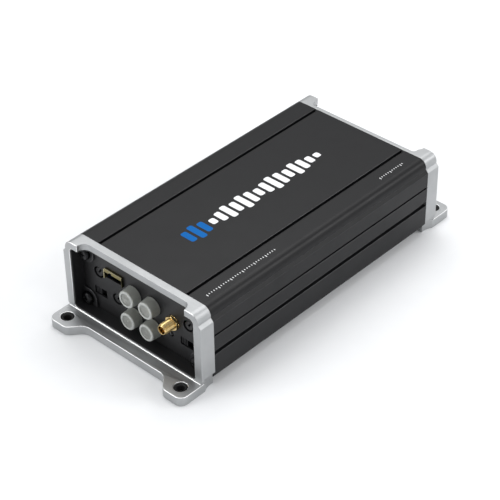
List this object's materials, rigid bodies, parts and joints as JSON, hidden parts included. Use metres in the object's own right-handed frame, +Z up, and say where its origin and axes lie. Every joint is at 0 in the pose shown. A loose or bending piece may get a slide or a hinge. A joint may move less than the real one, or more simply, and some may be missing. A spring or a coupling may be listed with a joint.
{
  "type": "car audio amplifier",
  "caption": "Compact in-vehicle audio amplifier: black extruded heat sink between silver cast end brackets with mounting feet, recessed jacks and controls in front, power and speaker connectors behind.",
  "frame": {"origin": "on the plane under the feet, below the middle of the body", "axes": "+X across the body to the right as seen from the jack end, +Y along the body from the jack end to the power end, +Z up"},
  "size_m": [0.1008, 0.2236, 0.05],
  "materials": {
    "anodised_black": "satin black anodised",
    "painted_black": "satin black",
    "cast_silver": "fine blasted, clear lacquered",
    "moulded_black": "fine textured",
    "connector_black": "moulded",
    "control_black": "moulded",
    "blackened_steel": "black oxide",
    "zinc_steel": "zinc plated",
    "black_rubber": "matte",
    "nickel_plate": "nickel plated",
    "gold_plate": "gold plated",
    "terminal_brass": "turned",
    "cap_grey": "translucent soft vinyl",
    "insulator_white": "smooth",
    "lead_jacket": "smooth",
    "trimmer_blue": "moulded",
    "led_clear": "clear epoxy",
    "fuse_green": "translucent moulded",
    "board_green": "solder mask",
    "chip_black": "moulded",
    "sleeve_dark": "shrunk sleeve",
    "ferrite_grey": "sintered",
    "copper_wire": "enamelled copper"
  },
  "bodies": {
    "chassis": {"heatsink_body": "anodised_black", "bottom_cover": "painted_black", "cover_screws": "zinc_steel", "front_bracket": "cast_silver", "rear_bracket": "cast_silver", "front_panel": "moulded_black", "rear_panel": "moulded_black", "front_case_screws": "blackened_steel", "rear_case_screws": "blackened_steel", "foot_grommets": "black_rubber", "rca_block": "connector_black", "rca_shells": "nickel_plate", "rca_contacts": "gold_plate", "antenna_jack": "gold_plate", "antenna_washer": "gold_plate", "antenna_nut": "gold_plate", "antenna_insulator": "insulator_white", "antenna_pin": "gold_plate", "antenna_lead": "lead_jacket", "media_port_shell": "nickel_plate", "media_port_tongue": "connector_black", "trimmer_housings": "trimmer_blue", "switch_frames": "connector_black", "status_led": "led_clear", "power_terminal_block": "connector_black", "power_clamps": "terminal_brass", "fuse_holder": "connector_black", "fuse_clips": "terminal_brass", "speaker_socket": "connector_black", "speaker_pins": "gold_plate", "main_board": "board_green", "control_board": "board_green", "board_link": "connector_black", "board_spacers": "terminal_brass", "board_screws": "zinc_steel", "mosfets": "chip_black", "insulator_pads": "insulator_white", "clamp_bars": "zinc_steel", "clamp_screws": "zinc_steel", "filter_capacitors": "sleeve_dark", "toroid_core": "ferrite_grey", "toroid_winding": "copper_wire", "output_inductors": "ferrite_grey", "radio_module": "nickel_plate"},
    "rca_cap_1": {"rca_cap_1": "cap_grey"},
    "rca_cap_2": {"rca_cap_2": "cap_grey"},
    "rca_cap_3": {"rca_cap_3": "cap_grey"},
    "rca_cap_4": {"rca_cap_4": "cap_grey"},
    "trimmer_rotor_1": {"trimmer_rotor_1": "control_black"},
    "trimmer_rotor_2": {"trimmer_rotor_2": "control_black"},
    "trimmer_rotor_3": {"trimmer_rotor_3": "control_black"},
    "switch_lever_1": {"switch_lever_1": "control_black"},
    "switch_lever_2": {"switch_lever_2": "control_black"},
    "power_screw_1": {"power_screw_1": "zinc_steel"},
    "power_screw_2": {"power_screw_2": "zinc_steel"},
    "power_screw_3": {"power_screw_3": "zinc_steel"},
    "fuse_1": {"fuse_1_body": "fuse_green", "fuse_1_blades": "zinc_steel"},
    "fuse_2": {"fuse_2_body": "fuse_green", "fuse_2_blades": "zinc_steel"}
  },
  "joints": [
    {"name": "rca_cap_1_pull", "type": "slide", "parent": "chassis", "child": "rca_cap_1", "axis": [0, -1, 0], "range_m": [0, 0.012]},
    {"name": "rca_cap_2_pull", "type": "slide", "parent": "chassis", "child": "rca_cap_2", "axis": [0, -1, 0], "range_m": [0, 0.012]},
    {"name": "rca_cap_3_pull", "type": "slide", "parent": "chassis", "child": "rca_cap_3", "axis": [0, -1, 0], "range_m": [0, 0.012]},
    {"name": "rca_cap_4_pull", "type": "slide", "parent": "chassis", "child": "rca_cap_4", "axis": [0, -1, 0], "range_m": [0, 0.012]},
    {"name": "trimmer_1_turn", "type": "hinge", "parent": "chassis", "child": "trimmer_rotor_1", "pos_m": [-0.033, -0.084, 0.031], "axis": [0, -1, 0], "range_deg": [-135, 135]},
    {"name": "trimmer_2_turn", "type": "hinge", "parent": "chassis", "child": "trimmer_rotor_2", "pos_m": [0.0332, -0.084, 0.0304], "axis": [0, -1, 0], "range_deg": [-135, 135]},
    {"name": "trimmer_3_turn", "type": "hinge", "parent": "chassis", "child": "trimmer_rotor_3", "pos_m": [-0.0196, -0.084, 0.0198], "axis": [0, -1, 0], "range_deg": [-135, 135]},
    {"name": "switch_1_slide", "type": "slide", "parent": "chassis", "child": "switch_lever_1", "axis": [1, 0, 0], "range_m": [0, 0.004]},
    {"name": "switch_2_slide", "type": "slide", "parent": "chassis", "child": "switch_lever_2", "axis": [1, 0, 0], "range_m": [0, 0.004]},
    {"name": "fuse_1_pull", "type": "slide", "parent": "chassis", "child": "fuse_1", "axis": [0, 1, 0], "range_m": [0, 0.016]},
    {"name": "fuse_2_pull", "type": "slide", "parent": "chassis", "child": "fuse_2", "axis": [0, 1, 0], "range_m": [0, 0.016]},
    {"name": "power_screw_1_lift", "type": "slide", "parent": "chassis", "child": "power_screw_1", "axis": [0, 0, 1], "range_m": [0, 0.003]},
    {"name": "power_screw_2_lift", "type": "slide", "parent": "chassis", "child": "power_screw_2", "axis": [0, 0, 1], "range_m": [0, 0.003]},
    {"name": "power_screw_3_lift", "type": "slide", "parent": "chassis", "child": "power_screw_3", "axis": [0, 0, 1], "range_m": [0, 0.003]}
  ]
}
